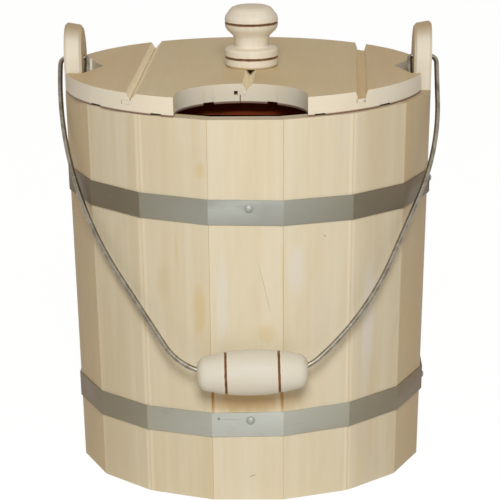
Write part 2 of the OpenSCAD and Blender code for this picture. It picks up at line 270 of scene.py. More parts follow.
# %% Write the colour helpers
def screen_colour(red, green, blue):
    """A colour as seen on a screen, as the linear numbers that a shader takes."""
    def linear(value):
        share = value / 255
        return share / 12.92 if share <= 0.04045 else ((share + 0.055) / 1.055) ** 2.4
    return (linear(red), linear(green), linear(blue), 1)


def unsigned(tree, value):
    """A number without its sign."""
    return number(tree, "ABSOLUTE", value)


def surface_place(tree):
    """Where a point of the surface is, in metres."""
    return step(tree, "TexCoord").outputs["Object"]


def along_line(tree, place, line):
    """How far a place or a direction goes along a line."""
    return step(tree, "VectorMath", {0: place, 1: line}, operation="DOT_PRODUCT").outputs["Value"]


def stretch(tree, place, scale):
    """The place on the piece, multiplied along each of its three directions."""
    return step(tree, "VectorMath", {0: place, 1: scale}, operation="MULTIPLY").outputs[0]


def noise(tree, place, detail=2.0, roughness=0.5):
    """Soft random numbers around a half."""
    inputs = {"Vector": place, "Scale": 1.0, "Detail": detail, "Roughness": roughness}
    return step(tree, "TexNoise", inputs).outputs[0]


def ramp(tree, value, low, high, to_low=0.0, to_high=1.0):
    """A smooth change from one level to another while the value goes from low to high."""
    inputs = {"Value": value, "From Min": low, "From Max": high, "To Min": to_low, "To Max": to_high}
    return step(tree, "MapRange", inputs, interpolation_type="SMOOTHSTEP").outputs[0]


def blend_colour(tree, share, first, second, blend_type="MIX"):
    """Goes from the first colour to the second one."""
    inputs = {0: share, 6: first, 7: second}
    return step(tree, "Mix", inputs, data_type="RGBA", blend_type=blend_type).outputs[2]


def glaze(tree, colour, tone, value, low, high, to_low=0.0, to_high=1.0):
    """Lays a tone over a colour. Its share changes while the value goes from low to high."""
    return blend_colour(tree, ramp(tree, value, low, high, to_low, to_high), colour, tone)


def empty_material(name):
    """A material with one main shader, and its network."""
    material = bpy.data.materials.new(name)
    material.use_nodes = True
    tree = material.node_tree
    return material, tree, tree.nodes["Principled BSDF"]


def set_shader(tree, shader, **inputs):
    """Gives the shader its inputs. An underscore in a name stands for a space."""
    for name, value in inputs.items():
        give(tree, shader.inputs[name.replace("_", " ")], value)


print("cream on a screen is", [round(part, 2) for part in screen_colour(224, 216, 192)[:3]], "to a shader")

# %% [markdown]
# ## Bare limewood
# The boards are bare limewood or aspen: cream, almost without figure, with faint streaks, a few yellow
# stains and some paler, cooler patches. The network looks at a board in three directions, through its
# thickness, across its width and along its length. Streaks are noise stretched along the length, growth
# rings are distances from a line far behind the board, and cut ends are duller. A picture of wood would
# show its borders at the edges, while noise in space runs on round them. Each board starts at its own place
# in the noise, so no two match.

# %% Look at a board
CREAM = screen_colour(224, 216, 192)
TAN = screen_colour(210, 196, 162)
HONEY = screen_colour(214, 192, 140)
PALE = screen_colour(222, 216, 204)
# A darker, warmer cream that is painted shade on the staves turned to the sides and back.
SIDE_STAVE_SHADE = screen_colour(211, 191, 155)
BROWN = screen_colour(150, 112, 66)
RING_WAVES = (9, 9, 2.2)
AXES = {"x": (1, 0, 0), "y": (0, 1, 0), "z": (0, 0, 1)}


def board_place(tree, along, turn, start):
    """The place in a board: thickness, width and length."""
    turns = {"z": (0, 0, -turn), "y": (math.pi / 2, 0, -turn), "x": (0, -math.pi / 2, 0)}
    inputs = {"Vector": surface_place(tree), "Rotation": turns[along]}
    turned = step(tree, "VectorRotate", inputs, rotation_type="EULER_XYZ")
    shifted = step(tree, "VectorMath", {0: turned.outputs[0], 1: start}, operation="ADD")
    return turned.outputs[0], shifted.outputs[0]


def facing(tree, direction):
    """How far the surface looks in a direction, from one to minus one."""
    return along_line(tree, step(tree, "TexCoord").outputs["Normal"], direction)


def growth_rings(tree, place, ring, tilt):
    """Thin lines where the growth rings come to the surface."""
    bent = noise(tree, stretch(tree, place, RING_WAVES), 3.0)
    parts = step(tree, "SeparateXYZ", {0: place})
    across = times(tree, parts.outputs[1], parts.outputs[1])
    deep = times(tree, parts.outputs[0], parts.outputs[0])
    radius = number(tree, "SQRT", number(tree, "ADD", across, deep))
    leaned = number(tree, "MULTIPLY_ADD", parts.outputs[2], tilt, radius)
    waved = number(tree, "MULTIPLY_ADD", bent, 0.03, leaned)
    turns = times(tree, waved, 2 * math.pi / ring)
    return ramp(tree, number(tree, "SINE", turns), 0.35, 1.0)


print("five tones of wood and a brown for its lines")

# %% [markdown]
# ## One board of limewood
# The glazes come in order: first the plain wood and its tan clouds, then yellow and cool patches, fine
# streaks, rings and fibres. The shares of honey, pale and tan say how much of each a board has. The fibres
# also roughen the surface, by a bump of a fifth of a millimetre, because real shapes that fine would need
# millions of faces.

# %% Mix the limewood
# Waves of the noise in a metre: through the board, across it and along it.
BROAD_WAVES = (55, 55, 2.2)
STREAK_WAVES = (160, 160, 3.5)
FIBRE_WAVES = (1500, 1500, 22)
YELLOW_WAVES = (38, 38, 3.0)
COOL_WAVES = (33, 33, 6.0)
RING_WIDTHS = (0.0028, 0.0042)
END_TINT = (1.0, 0.97, 0.92)
BARE_SHINE = 0.35


def limewood(name, seed, along, honey, pale, tan, turn=0.0, light=1.0, end_tone=0.82, rings=0.02, base=CREAM,
             seam=None, marks=None, painted_shade=None):
    """Bare limewood for one board, with its streaks along the named direction."""
    dice = random.Random(seed)
    material, tree, shader = empty_material(name)
    start = (dice.uniform(0.05, 0.09), dice.uniform(-0.03, 0.03), dice.uniform(0, 9))
    place, own = board_place(tree, along, turn, start)
    broad = noise(tree, stretch(tree, own, BROAD_WAVES), 3.0, 0.55)
    streak = noise(tree, stretch(tree, own, STREAK_WAVES), 3.0, 0.6)
    fibre = noise(tree, stretch(tree, own, FIBRE_WAVES), 2.0, 0.6)
    yellow = noise(tree, stretch(tree, own, YELLOW_WAVES), 2.0)
    cool = noise(tree, stretch(tree, own, COOL_WAVES), 1.0)
    colour = base
    clouds = ((broad, 0.3, tan, TAN), (yellow, 0.52, honey, HONEY), (cool, 0.56, pale, PALE))
    for cloud, low, share, tone in clouds:
        colour = blend_colour(tree, times(tree, ramp(tree, cloud, low, 0.72), share), colour, tone)
    colour = glaze(tree, colour, TAN, streak, 0.3, 0.75, 0.0, 0.22)
    if rings:
        grown = growth_rings(tree, own, dice.uniform(*RING_WIDTHS), dice.uniform(-0.05, 0.05))
        colour = blend_colour(tree, times(tree, grown, rings), colour, BROWN)
    colour = glaze(tree, colour, BROWN, fibre, 0.55, 0.8, 0.0, 0.07)
    if seam:
        colour = seam_tone(tree, place, colour, *seam)
    if marks:
        colour = marks(tree, place, colour)
    shine = BARE_SHINE
    # Pieces inside the bucket take a painted shade here, which also dulls their shine.
    if painted_shade:
        colour, shine = painted_shade(tree, colour)
    cut = ramp(tree, unsigned(tree, facing(tree, AXES[along])), 0.6, 0.8)
    dull = blend_colour(tree, 1.0, colour, (*(end_tone * part for part in END_TINT), 1), "MULTIPLY")
    colour = blend_colour(tree, cut, colour, dull)
    colour = blend_colour(tree, 1.0, colour, (light, light, light, 1), "MULTIPLY")
    grain = number(tree, "MULTIPLY_ADD", streak, 0.5, fibre)
    bump = step(tree, "Bump", {"Strength": 0.35, "Distance": 0.2 * MM, "Height": grain})
    rough = ramp(tree, fibre, 0.2, 0.8, 0.52, 0.68)
    set_shader(tree, shader, Base_Color=colour, Specular_IOR_Level=shine, Roughness=rough,
               Normal=bump.outputs[0])
    return material


print("fibres", round(1000 / FIBRE_WAVES[0], 2), "mm wide")

# %% [markdown]
# ## Seams between the staves
# Each seam was sanded flat by hand after the hoops were on, some more than others. The fresh flat looks
# paler, and a hairline of dirt marks the joint itself. Thin strips could be laid on, but the flats are
# already cut on the staves, so both tones follow the distance to the stave's two mitred sides.

# %% Paint the seams
STAVES = 16
HALF_STEP = math.pi / STAVES
# The widths of the flats in millimetres, from the front seam round to the back.
SEAM_FLATS = (0.8, 6.5, 2.5, 2, 4, 3, 1.5, 5)


def seam_flat(index):
    """The width of the flat on one seam, counted from the front on both sides."""
    count = len(SEAM_FLATS)
    return SEAM_FLATS[index if index < count else 2 * count - 1 - index] * MM


SANDED = screen_colour(236, 226, 200)
SEAM_DIRT = screen_colour(190, 165, 110)
DIRT_WIDTH = 0.9 * MM


def seam_tone(tree, place, colour, low_flat, high_flat):
    """A paler stripe on the sanded flat at each side of a stave, and a faint line of dirt at the joint."""
    for side, flat in ((-1, low_flat), (1, high_flat)):
        normal = (math.sin(HALF_STEP), -side * math.cos(HALF_STEP), 0)
        gap = along_line(tree, place, normal)
        colour = glaze(tree, colour, SANDED, gap, flat / 2 - 0.4 * MM, flat / 2 + 0.6 * MM, 0.6, 0.0)
        colour = glaze(tree, colour, SEAM_DIRT, gap, 0.0, DIRT_WIDTH, 0.35, 0.0)
    return colour


print("seams from", min(SEAM_FLATS), "to", max(SEAM_FLATS), "mm")

# %% [markdown]
# ## Edges that a hand has touched
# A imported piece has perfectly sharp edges, and real ones never do: a few strokes of sandpaper leave a tiny
# round that catches the light. The helper copies a piece, welds its mesh, and bevels the edges that turn by
# more than a set angle. Edges hidden in the lid's joints stay sharp, so that the tongues still fit. The
# bevel keeps the flat faces' own shading, which smooth shading alone would smear. The copy then stands for
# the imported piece, which stays in the model unseen.

# %% Write the helper that eases edges
WELD_REACH = 1e-6
FLAT_DEGREES = 0.5
SMOOTH_DEGREES = 35


@contextmanager
def opened(mesh):
    """Opens a mesh for changes, and writes them back."""
    work = bmesh.new()
    work.from_mesh(mesh)
    yield work
    work.to_mesh(mesh)
    work.free()


def weld(mesh):
    """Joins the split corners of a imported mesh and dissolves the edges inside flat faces."""
    with opened(mesh) as work:
        bmesh.ops.remove_doubles(work, verts=work.verts, dist=WELD_REACH)
        flat = math.radians(FLAT_DEGREES)
        bmesh.ops.dissolve_limit(work, angle_limit=flat, verts=work.verts, edges=work.edges)


def smooth_below(mesh, degrees):
    """Shades a mesh smooth, apart from the edges that turn by more than an angle."""
    with opened(mesh) as work:
        for face in work.faces:
            face.smooth = True
        for edge in work.edges:
            edge.smooth = len(edge.link_faces) == 2 and edge.calc_face_angle() < math.radians(degrees)


def choose_edges(mesh, degrees, sharp_from, sharp_to):
    """Marks the edges to ease: those that turn by enough and don't lie wholly between two heights."""
    with opened(mesh) as work:
        weight = work.edges.layers.float.new("bevel_weight_edge")
        for edge in work.edges:
            turned = len(edge.link_faces) == 2 and edge.calc_face_angle() > math.radians(degrees)
            joint = all(sharp_from < vert.co.z < sharp_to for vert in edge.verts)
            edge[weight] = 1.0 if turned and not joint else 0.0


def eased(name, node, width, material, body="bucket", angle=28, segments=2, sharp=(0, 0)):
    """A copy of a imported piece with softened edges, which takes its place."""
    mesh = nodes[node].data.copy()
    mesh.name = name
    weld(mesh)
    smooth_below(mesh, SMOOTH_DEGREES)
    choose_edges(mesh, angle, *sharp)
    piece = in_scene(name, mesh)
    bevel = piece.modifiers.new("eased_edges", "BEVEL")
    bevel.width = width
    bevel.segments = segments
    bevel.limit_method = "WEIGHT"
    bevel.miter_outer = "MITER_ARC"
    bevel.harden_normals = True
    graph = bpy.context.evaluated_depsgraph_get()
    shaped = bpy.data.meshes.new_from_object(piece.evaluated_get(graph))
    piece.modifiers.clear()
    piece.data = shaped
    shaped.name = name
    shaped.materials.clear()
    shaped.materials.append(material)
    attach(piece, body)
    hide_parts(node)
    return piece


print("flat faces are those within", FLAT_DEGREES, "degrees")

# %% [markdown]
# ## Stains and bruises
# A board that has been handled is never one tone. Its marks could be painted on by hand in a picture, but a
# few soft patches say the same and stay sharp at any size. Each is placed by its distance from the board's
# middle and its height above the floor. Noise frays its edge, and a patch that is very narrow and a little
# turned makes a scratch.

# %% Write the helper for patches
FRAY_WAVES = (160, 160, 45)


def patch(tree, place, colour, middle, half, tone, share, turn=0.0):
    """A frayed patch of another tone. Its middle and its half sizes are (across, up), in millimetres."""
    centre = (0, middle[0] * MM, middle[1] * MM)
    offset = step(tree, "VectorMath", {0: place, 1: centre}, operation="SUBTRACT")
    turned = step(tree, "VectorRotate", {"Vector": offset.outputs[0], "Angle": math.radians(turn)},
                  rotation_type="X_AXIS")
    shares = stretch(tree, turned.outputs[0], (0, 1 / (half[0] * MM), 1 / (half[1] * MM)))
    reach = step(tree, "VectorMath", {0: shares}, operation="LENGTH").outputs["Value"]
    frayed = number(tree, "MULTIPLY_ADD", noise(tree, stretch(tree, place, FRAY_WAVES), 3.0), 0.9, reach)
    return glaze(tree, colour, tone, frayed, 0.8, 1.6, share, 0.0)


print("patches fray at about", round(1000 / FRAY_WAVES[0]), "mm")

# %% [markdown]
# ## Marks on the staves
# The front staves carry the marks that show: cool pale patches, honey streaks beside the seams, a painted
# shadow under the grip and two brown seams where the grip hangs, and small bruises. Staves are counted from
# the front towards the right, from 0 to 15. A list for each is easier to change than a network for each.

# %% List the marks
STAVE_NAMES = [name for name in nodes if "stave" in name]
FRONT_TURN = -math.pi / 2
EARS = (4, 12)
COOL = screen_colour(222, 219, 209)
ORANGE = screen_colour(176, 120, 50)
# Painted shadow of the grip on the staves just below it.
GRIP_SHADOW = screen_colour(205, 172, 118)
BRUISE = screen_colour(128, 96, 62)
# A mark is its middle and half size in millimetres, its tone and share, and for some a turn in degrees.
STAVE_MARKS = {
    0: [((-19, 168), (6, 42), COOL, 0.6), ((15.5, 139), (10, 9), HONEY, 0.45),
        ((27.6, 88), (2.2, 18), ORANGE, 0.95), ((-27.6, 88), (2.2, 18), ORANGE, 0.95),
        ((28.7, 172), (1.2, 46), HONEY, 0.7), ((0, 84), (34, 13), GRIP_SHADOW, 0.75),
        ((3.7, 20.6), (3.2, 0.5), BRUISE, 0.6, -25), ((14.6, 174), (0.35, 26), BRUISE, 0.35, -13)],
    1: [((-17.5, 191), (9, 24), COOL, 0.7), ((5.8, 215), (0.9, 1.1), BRUISE, 0.5),
        ((-24, 83), (12, 10), GRIP_SHADOW, 0.4)],
    2: [((-8, 140), (9, 62), COOL, 0.7)],
    15: [((19.5, 156), (7, 27), HONEY, 0.6), ((22.7, 270), (5.5, 9), HONEY, 0.5),
         ((1.1, 204), (1.4, 14), HONEY, 0.6), ((-11, 178), (6.5, 22), TAN, 0.7)]}
print("marks on", len(STAVE_MARKS), "of", len(STAVE_NAMES), "staves")

# %% [markdown]
# ## The dark inside
# Through the lid's cut-out the bucket looks dark red-brown, which is the shade inside the nearly closed
# bucket. Here that shade is painted on as a dark red-brown tone. A second mesh could carry that tone, but a
# stave has only one skin. So the network paints the shade where the surface looks inwards, below the rim.
# There it also takes the shine away, or the white room would show as a grey veil on the dark wood.

# %% Paint the shade inside
INSIDE_SHADE_TONE = screen_colour(112, 42, 16)
INSIDE_SHADE_SHARE = 0.97
INSIDE_SHADE_SHINE = 0.03


def height_over(tree, level):
    """The height of the surface over a level."""
    return number(tree, "SUBTRACT", along_line(tree, surface_place(tree), AXES["z"]), level)


def paint_inside_shade(tree, share, colour):
    """The colour and the shine of wood that takes a share of the painted shade of the inside."""
    return blend_colour(tree, share, colour, INSIDE_SHADE_TONE), ramp(tree, share, 0.0, 1.0, BARE_SHINE, INSIDE_SHADE_SHINE)


def inner_shade(turn):
    """The painted shade on a stave's inner face, up to the rim."""
    def painted_shade(tree, colour):
        # Painted shade: a dark red-brown tone on faces that look inwards, below the rim.
        inward = ramp(tree, facing(tree, (math.cos(turn), math.sin(turn), 0)), -0.95, -0.6, 1.0, 0.0)
        below_rim = ramp(tree, height_over(tree, RIM_Z), -4 * MM, 1 * MM, INSIDE_SHADE_SHARE, 0.0)
        return paint_inside_shade(tree, times(tree, inward, below_rim), colour)
    return painted_shade


print("stain takes", INSIDE_SHADE_SHARE, "of the tone")

# %% [markdown]
# ## The staves
# Sixteen staves make the wall. One wood for all would be shorter, but on the real bucket they were cut from
# different boards, and every seam shows the change. Staves at the front show most and have their own listed
# shares of honey, pale and tan. The rest take a darker, warmer base that paints the shade on boards that turn
# from the lamp, and take what their seed gives them.

# %% Plane the staves
# For the order of a stave: its shares of honey, pale and tan, and its lightness. The lower lightness of the
# staves that turn to the sides is painted shade.
STAVE_TONES = {0: (0.1, 0.15, 0.3, 1.0), 1: (0.1, 0.35, 0.3, 1.0), 2: (0.15, 0.45, 0.5, 0.97),
               3: (0.3, 0.3, 0.8, 0.93), 15: (0.45, 0.1, 0.6, 0.97), 14: (0.3, 0.25, 0.6, 0.98),
               13: (0.3, 0.2, 0.8, 0.97)}
SAWN_TONE = screen_colour(232, 227, 213)
FRONT_REACH = 3


def stave_order(name):
    """Where a stave stands in the ring, counted from the front towards the right."""
    low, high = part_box(name)
    middle = (low + high) / 2
    return round((math.atan2(middle.y, middle.x) - FRONT_TURN) / (2 * HALF_STEP)) % STAVES


def stave_marks(order):
    """The patches of one stave, and the fresh sawn sides of the two ears."""
    def marks(tree, place, colour):
        for mark in STAVE_MARKS.get(order, []):
            colour = patch(tree, place, colour, *mark)
        if order in EARS:
            sideways = unsigned(tree, facing(tree, (0, 1, 0)))
            colour = glaze(tree, colour, SAWN_TONE, sideways, 0.3, 0.7, 0.0, 0.85)
        return colour
    return marks


def plane_stave(name):
    """One stave with its own wood."""
    order = stave_order(name)
    dice = random.Random(order + 40)
    drawn = (dice.uniform(0.1, 0.4), dice.uniform(0.1, 0.4), dice.uniform(0.4, 0.8), dice.uniform(0.94, 1.0))
    honey, pale, tan, light = STAVE_TONES.get(order, drawn)
    turn = FRONT_TURN + 2 * HALF_STEP * order
    # Staves away from the front take the darker, warmer base as painted shade.
    base = CREAM if min(order, STAVES - order) < FRONT_REACH else SIDE_STAVE_SHADE
    flats = (seam_flat((order - 1) % STAVES), seam_flat(order))
    wood = limewood("limewood_" + name, order + 7, "z", honey, pale, tan, turn, light, base=base, seam=flats,
                    marks=stave_marks(order), painted_shade=inner_shade(turn))
    return eased("planed_" + name, name, 0.35 * MM, wood)


planed = [plane_stave(name) for name in STAVE_NAMES]
print("planed", len(planed), "staves")

# %% [markdown]
# ## The bottom
# Three boards lie in a groove near the foot of the staves. Hardly a glimpse of them shows through the lid's
# cut-out, so they share one plainer wood, with the painted shade of the inside on top like the walls, because
# the bucket is also looked at from above and below.

# %% Lay the bottom
def shaded_top(tree, colour):
    """The side of the bottom that looks up takes the painted shade of the inside."""
    # Painted shade on the upper side of the bottom boards.
    return paint_inside_shade(tree, ramp(tree, facing(tree, (0, 0, 1)), 0.6, 0.95, 0.0, INSIDE_SHADE_SHARE), colour)


bottom_wood = limewood("limewood_bottom", 61, "y", honey=0.3, pale=0.2, tan=0.7, light=0.92,
                       painted_shade=shaded_top)
for node in ("bottom_board_left", "bottom_board_middle", "bottom_board_right"):
    eased("planed_" + node, node, 0.4 * MM, bottom_wood)
print("bottom laid")

# %% [markdown]
# ## The lid
# Four matchboards with a vee at each joint make the lid. The top was handled and has gone a warmer tan, and
# part of its darker tone is painted shade, since the lamp lights the top less than the edges. The sawn edges
# are still pale, the vee walls and the lid's ends that look sideways carry painted light, and a painted
# shadow darkens the lid's edge where it meets the rim. Each face could take a material of its own, but the
# rounded edges between them would show a hard change. So one network asks which way the surface looks.

# %% Saw the lid
# Tones for the top: handled wear, and partly painted shade of a face the lamp lights less.
LID_TOP_WEAR_AND_SHADE = (screen_colour(206, 182, 134), screen_colour(212, 192, 148), screen_colour(210, 190, 144),
                 screen_colour(203, 177, 128))
LID_SAWN = screen_colour(236, 232, 218)
# Painted light for the faces that look sideways: the vee walls and the lid's ends.
LID_SIDE_LIGHT = screen_colour(250, 239, 210)
# Dark brown for the open middle joint, and for a painted shadow along the lid's edge at the rim.
LID_JOINT_AND_RIM_SHADOW = screen_colour(96, 48, 20)
LID_TURN = math.radians(-1.4)
LID_ACROSS = (math.cos(LID_TURN), math.sin(LID_TURN), 0)
MIDDLE_JOINT = -3 * MM
TONGUE_HEIGHTS = (RIM_Z + 6 * MM, RIM_Z + 11 * MM)
WORN_WAVES = (14, 14, 6)


def lid_marks(top_wear_and_shade):
    """The tan top with some painted shade, the pale edges, painted light on the vees, the open middle joint
    and a painted shadow at the rim.
    """
    def marks(tree, place, colour):
        up = facing(tree, (0, 0, 1))
        sideways = ramp(tree, unsigned(tree, facing(tree, (1, 0, 0))), 0.5, 0.65)
        lengthways = ramp(tree, unsigned(tree, facing(tree, (0, 1, 0))), 0.1, 0.3, 0.9, 0.0)
        colour = glaze(tree, colour, LID_SAWN, up, 0.85, 0.97, 0.9, 0.0)
        # Painted light on the faces that look sideways.
        colour = blend_colour(tree, times(tree, sideways, lengthways), colour, LID_SIDE_LIGHT)
        worn = ramp(tree, noise(tree, stretch(tree, place, WORN_WAVES), 3.0), 0.25, 0.75, 0.65, 0.95)
        top = times(tree, ramp(tree, up, 0.85, 0.97), worn)
        # The darker top is partly wear and partly painted shade.
        colour = blend_colour(tree, top, colour, top_wear_and_shade)
        aside = along_line(tree, surface_place(tree), LID_ACROSS)
        gap = unsigned(tree, number(tree, "SUBTRACT", aside, MIDDLE_JOINT))
        under_tongue = ramp(tree, height_over(tree, TONGUE_HEIGHTS[0]), 0.0, 1 * MM, 1.0, 0.0)
        line = times(tree, ramp(tree, gap, 0.3 * MM, 0.6 * MM, 0.85, 0.0), under_tongue)
        colour = blend_colour(tree, line, colour, LID_JOINT_AND_RIM_SHADOW)
        # Painted shadow along the lid's edge, just above the rim.
        return glaze(tree, colour, LID_JOINT_AND_RIM_SHADOW, height_over(tree, RIM_Z), 1.1 * MM, 2 * MM, 0.85, 0.0)
    return marks


for index, side in enumerate(("far_left", "left", "right", "far_right")):
    node = "lid_board_" + side
    wood = limewood("limewood_" + node, 80 + index, "y", honey=0.3, pale=0.25, tan=0.55, turn=LID_TURN,
                    end_tone=1.0, marks=lid_marks(LID_TOP_WEAR_AND_SHADE[index]))
    eased("sawn_" + node, node, 0.7 * MM, wood, segments=3, sharp=TONGUE_HEIGHTS)
print("lid of", len(LID_TOP_WEAR_AND_SHADE), "boards")

# %% [markdown]
# ## The battens
# Two battens are screwed across the boards from below and keep the lid flat. The front one shows through the
# cut-out. It looks as red-brown as the walls behind it, but a little lighter, so its painted shade is a
# lighter, redder tone of its own: the walls' tone would turn black in the real shade of the lid.

# %% Screw on the battens
BATTEN_SHADE_TONE = screen_colour(208, 90, 36)
BATTEN_SHADE_WAVES = (8, 60, 60)


def shaded_all_round(tree, colour):
    """A lighter, redder painted shade, uneven along the batten."""
    # Painted shade for the batten inside the closed bucket.
    cloud = noise(tree, stretch(tree, surface_place(tree), BATTEN_SHADE_WAVES))
    share = ramp(tree, cloud, 0.3, 0.7, 0.88, 0.98)
    return blend_colour(tree, share, colour, BATTEN_SHADE_TONE), times(tree, share, 0.1)


batten_wood = limewood("limewood_battens", 91, "x", honey=0.3, pale=0.3, tan=0.6, light=0.95,
                       painted_shade=shaded_all_round)
for node in ("front_batten", "back_batten"):
    eased("sawn_" + node, node, 0.6 * MM, batten_wood)
print("two battens of", batten_wood.name)

# %% [markdown]
# ## Hoops
# The hoops are zinc-coated strip, hammered down over the tapering staves, so they bend at every seam and
# lie flat between. New zinc shines, but this has dulled to a soft grey with fine scratches along the strip.
# A mirror-like metal would only show the white room, so this one is mostly dull, and its tone follows the
# flat: grey in front, and darker and browner on each flat towards the sides, which is painted shade, with a
# little chance of its own.

# %% Roll the hoop steel
ZINC = screen_colour(168, 172, 166)
DULL_AND_SHADED_ZINC = screen_colour(140, 138, 122)
# Painted shade tones for the flats that turn to the sides.
SHADED_ZINC = screen_colour(110, 99, 77)
DEEP_SHADED_ZINC = screen_colour(104, 84, 54)
RUST = screen_colour(96, 78, 58)
CLOUD_WAVES = (40, 40, 60)
SCRATCH_WAVES = (60, 60, 3000)
DENTS = [((-22.8, 68.8), (1.1, 1.3), RUST, 0.7), ((-13, 68.3), (10, 0.4), RUST, 0.3)]


def strip_steel(name, seed, brightness, turning, dents):
    """Dull zinc on thin strip, with painted shade that darkens and browns each flat that turns away from the
    front.
    """
    material, tree, shader = empty_material(name)
    where = surface_place(tree)
    parts = step(tree, "SeparateXYZ", {0: where})
    angle = number(tree, "ARCTAN2", parts.outputs[0], times(tree, parts.outputs[1], -1.0))
    flats_on = number(tree, "DIVIDE", angle, 2 * HALF_STEP)
    flat = number(tree, "ROUND", flats_on)
    flat_seed = {"W": number(tree, "ADD", flat, seed)}
    flat_tone = step(tree, "TexWhiteNoise", flat_seed, noise_dimensions="1D").outputs[0]
    softened = number(tree, "MULTIPLY_ADD", number(tree, "SUBTRACT", flats_on, flat), 0.45, flat)
    # Painted shade: how far each flat turns from the front sets how dark and brown it gets.
    away = times(tree, unsigned(tree, softened), turning)
    cloud = noise(tree, stretch(tree, where, CLOUD_WAVES), 4.0, 0.6)
    scratch = noise(tree, stretch(tree, where, SCRATCH_WAVES), 2.0, 0.6)
    colour = blend_colour(tree, ramp(tree, away, 0.0, 1.6), ZINC, DULL_AND_SHADED_ZINC)
    colour = glaze(tree, colour, SHADED_ZINC, away, 1.0, 2.2)
    colour = glaze(tree, colour, DEEP_SHADED_ZINC, away, 2.1, 3.1)
    colour = blend_colour(tree, 1.0, colour, (brightness, brightness, brightness, 1), "MULTIPLY")
    colour = glaze(tree, colour, DULL_AND_SHADED_ZINC, flat_tone, 0.0, 1.0, 0.0, 0.1)
    colour = glaze(tree, colour, DULL_AND_SHADED_ZINC, cloud, 0.5, 0.75, 0.0, 0.25)
    colour = glaze(tree, colour, RUST, scratch, 0.55, 0.75, 0.0, 0.12)
    front = board_place(tree, "z", FRONT_TURN, (0, 0, 0))[0]
    for dent in dents:
        colour = patch(tree, front, colour, *dent)
    bump = step(tree, "Bump", {"Strength": 0.2, "Distance": 0.1 * MM, "Height": scratch})
    rough = ramp(tree, cloud, 0.3, 0.7, 0.48, 0.6)
    set_shader(tree, shader, Base_Color=colour, Metallic=0.25, Roughness=rough, Normal=bump.outputs[0])
    return material


for node, seed, brightness, turning, dents in (("upper_hoop", 3, 0.94, 1.05, []),
                                               ("lower_hoop", 4, 1.24, 0.85, DENTS)):
    steel = strip_steel("zinc_" + node, seed, brightness, turning, dents)
    eased("rolled_" + node, node, 0.25 * MM, steel, angle=15)
print("two hoops with", len(DENTS), "dents")

# %% [markdown]
# ## Nails, rivets and screws
# Small round heads hold the hoops, and screws hold the battens and the knob. They could be modelled again
# with smaller faces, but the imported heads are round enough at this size, so they only take a zinc finish.

# %% Finish the small metal
MOTTLE_WAVES = (900, 900, 900)


def small_steel(name, colour, roughness):
    """Plain zinc with a faint mottle."""
    material, tree, shader = empty_material(name)
    cloud = noise(tree, stretch(tree, surface_place(tree), MOTTLE_WAVES), 3.0)
    tone = glaze(tree, colour, DULL_AND_SHADED_ZINC, cloud, 0.4, 0.7, 0.0, 0.4)
    rough = ramp(tree, cloud, 0.3, 0.7, roughness, roughness + 0.15)
    set_shader(tree, shader, Base_Color=tone, Metallic=0.5, Roughness=rough)
    return material


head_steel = small_steel("zinc_heads", ZINC, 0.5)
screw_steel = small_steel("zinc_screws", screen_colour(168, 160, 140), 0.4)
for node, finish in (("hoop_nails", head_steel), ("hoop_rivets", head_steel), ("batten_screws", screw_steel),
                     ("knob_screw", screw_steel)):
    nodes[node].data.materials.clear()
    nodes[node].data.materials.append(finish)
print("heads and screws finished")

# %% [markdown]
# ## Turned wood
# The knob and the grip come off a lathe. A screw modifier could turn a drawn curve, but its profile would
# have to be drawn by hand. The helper takes the outline as a list of points and turns it about a line,
# which keeps every size readable. Curved stretches are arcs, written by their middle, radius and angles.

# %% Write the lathe
TURNS = 128
TURNED_SMOOTH = 30
TURNED_WOOD = {"honey": 0.03, "pale": 0.3, "tan": 0.1, "end_tone": 0.97, "rings": 0}


def arc(middle, radius, start, end, count):
    """Points along an arc, in the plane of the outline."""
    angles = [math.radians(start + (end - start) * k / count) for k in range(count + 1)]
    return [(middle[0] + radius * math.cos(a), middle[1] + radius * math.sin(a)) for a in angles]


def ring_faces(rings, around, closed=False):
    """The faces between rings of corners that follow each other."""
    faces = []
    for ring in range(rings if closed else rings - 1):
        low, high = ring * around, (ring + 1) % rings * around
        for k in range(around):
            ahead = (k + 1) % around
            faces.append((low + k, low + ahead, high + ahead, high + k))
    return faces


def lathe(name, outline, closed, place):
    """Turns an outline of (distance from the line, distance along it) into a round piece."""
    mesh = bpy.data.meshes.new(name)
    angles = [2 * math.pi * t / TURNS for t in range(TURNS)]
    verts = [(r * math.cos(angle), r * math.sin(angle), z) for r, z in outline for angle in angles]
    mesh.from_pydata(verts, [], ring_faces(len(outline), TURNS, closed))
    with opened(mesh) as work:
        bmesh.ops.remove_doubles(work, verts=work.verts, dist=WELD_REACH / 10)
        bmesh.ops.recalc_face_normals(work, faces=work.faces)
    mesh.transform(place)
    smooth_below(mesh, TURNED_SMOOTH)
    return in_scene(name, mesh)


print("lathe with", TURNS, "faces round")

# %% [markdown]
# ## Burnt lines
# The dark lines were burnt in with a wire held against the spinning wood. That leaves a shallow brown
# groove between two pale rims. Paint alone would catch no light, so the groove is part of the outline. Its
# colour follows the distance along the lathe's line, and noise makes its edge uneven, as the wire jumped.

# %% Burn the lines
SCORCH = screen_colour(104, 62, 34)
SINGED = screen_colour(134, 94, 58)
LINE_RIM = screen_colour(234, 224, 203)
LINE_DEPTH = 0.8 * MM
LINE_HALF = 0.7 * MM
RAGGED_WAVES = (260, 260, 260)
SINGE_WAVES = (170, 170, 170)


def groove(radius, height):
    """A shallow vee for a burnt line."""
    return [(radius, height - LINE_HALF), (radius - LINE_DEPTH, height), (radius, height + LINE_HALF)]


